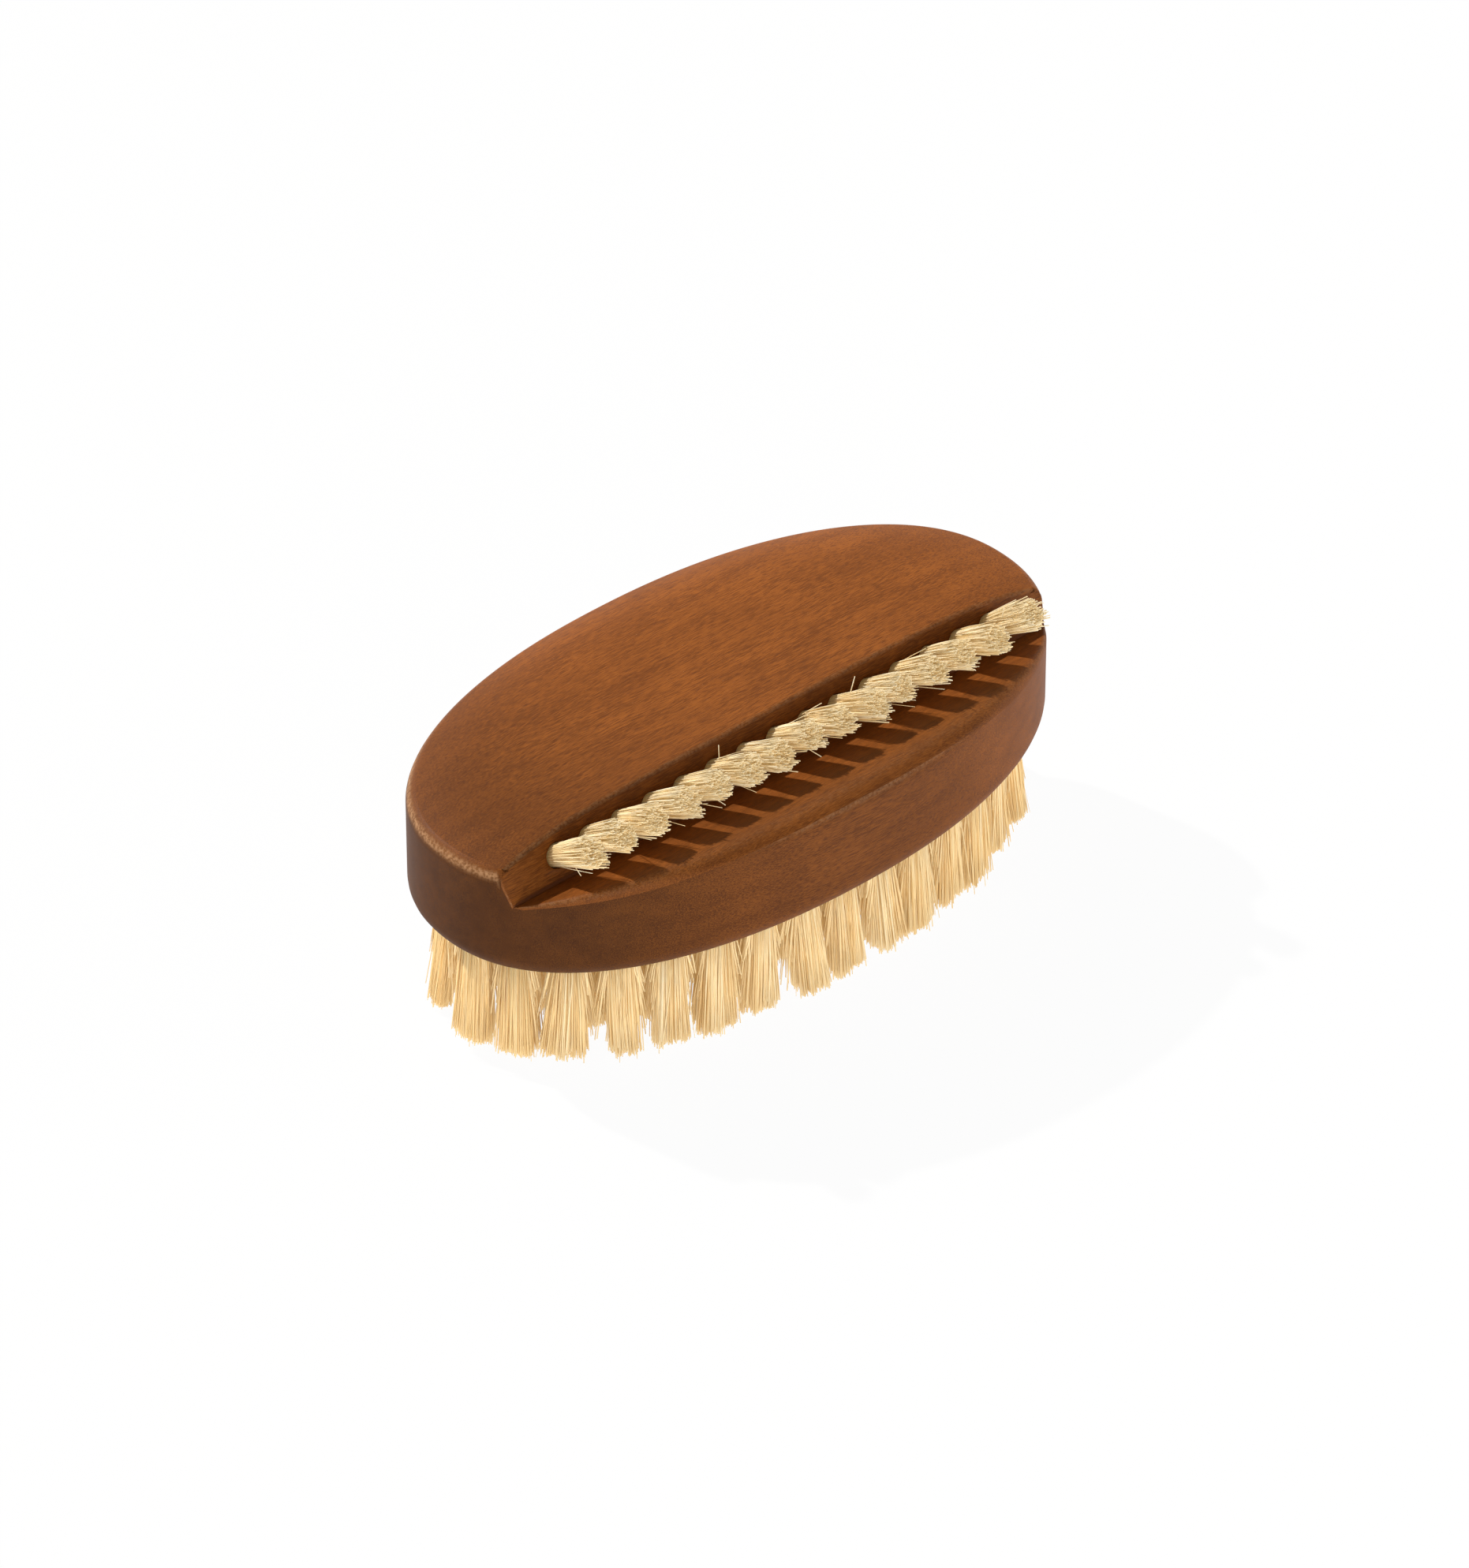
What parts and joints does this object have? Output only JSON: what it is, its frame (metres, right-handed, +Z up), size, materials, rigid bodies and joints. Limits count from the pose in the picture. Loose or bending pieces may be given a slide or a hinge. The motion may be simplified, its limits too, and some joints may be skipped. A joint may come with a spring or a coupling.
{
  "type": "nail brush",
  "caption": "Oval wooden hand brush: a crowned one-piece block with bristle tufts on its face, and a slanting groove in its top with a row of short tufts for finger nails.",
  "frame": {"origin": "on the surface the brush stands on, under the middle of the block, at the bristle tips", "axes": "+X along the block's length, +Z up out of the crowned top, the nail groove on the -Y side"},
  "size_m": [0.095, 0.0526, 0.0369],
  "materials": {
    "block_wood": "warm brown stained fine-grained wood with a satin finish",
    "bristle": "cream to straw natural bristle",
    "anchor_steel": "plain drawn strip"
  },
  "bodies": {
    "root": {"block": "block_wood", "nail_row_tufts": "bristle", "outer_ring_tufts": "bristle", "middle_ring_tufts": "bristle", "inner_ring_tufts": "bristle", "nail_anchor_01": "anchor_steel", "nail_anchor_02": "anchor_steel", "nail_anchor_03": "anchor_steel", "nail_anchor_04": "anchor_steel", "nail_anchor_05": "anchor_steel", "nail_anchor_06": "anchor_steel", "nail_anchor_07": "anchor_steel", "nail_anchor_08": "anchor_steel", "nail_anchor_09": "anchor_steel", "nail_anchor_10": "anchor_steel", "nail_anchor_11": "anchor_steel", "nail_anchor_12": "anchor_steel", "nail_anchor_13": "anchor_steel", "nail_anchor_14": "anchor_steel", "nail_anchor_15": "anchor_steel", "outer_anchor_01": "anchor_steel", "outer_anchor_02": "anchor_steel", "outer_anchor_03": "anchor_steel", "outer_anchor_04": "anchor_steel", "outer_anchor_05": "anchor_steel", "outer_anchor_06": "anchor_steel", "outer_anchor_07": "anchor_steel", "outer_anchor_08": "anchor_steel", "outer_anchor_09": "anchor_steel", "outer_anchor_10": "anchor_steel", "outer_anchor_11": "anchor_steel", "outer_anchor_12": "anchor_steel", "outer_anchor_13": "anchor_steel", "outer_anchor_14": "anchor_steel", "outer_anchor_15": "anchor_steel", "outer_anchor_16": "anchor_steel", "outer_anchor_17": "anchor_steel", "outer_anchor_18": "anchor_steel", "outer_anchor_19": "anchor_steel", "outer_anchor_20": "anchor_steel", "outer_anchor_21": "anchor_steel", "outer_anchor_22": "anchor_steel", "outer_anchor_23": "anchor_steel", "outer_anchor_24": "anchor_steel", "outer_anchor_25": "anchor_steel", "outer_anchor_26": "anchor_steel", "outer_anchor_27": "anchor_steel", "outer_anchor_28": "anchor_steel", "outer_anchor_29": "anchor_steel", "outer_anchor_30": "anchor_steel", "outer_anchor_31": "anchor_steel", "outer_anchor_32": "anchor_steel"}
  },
  "joints": []
}
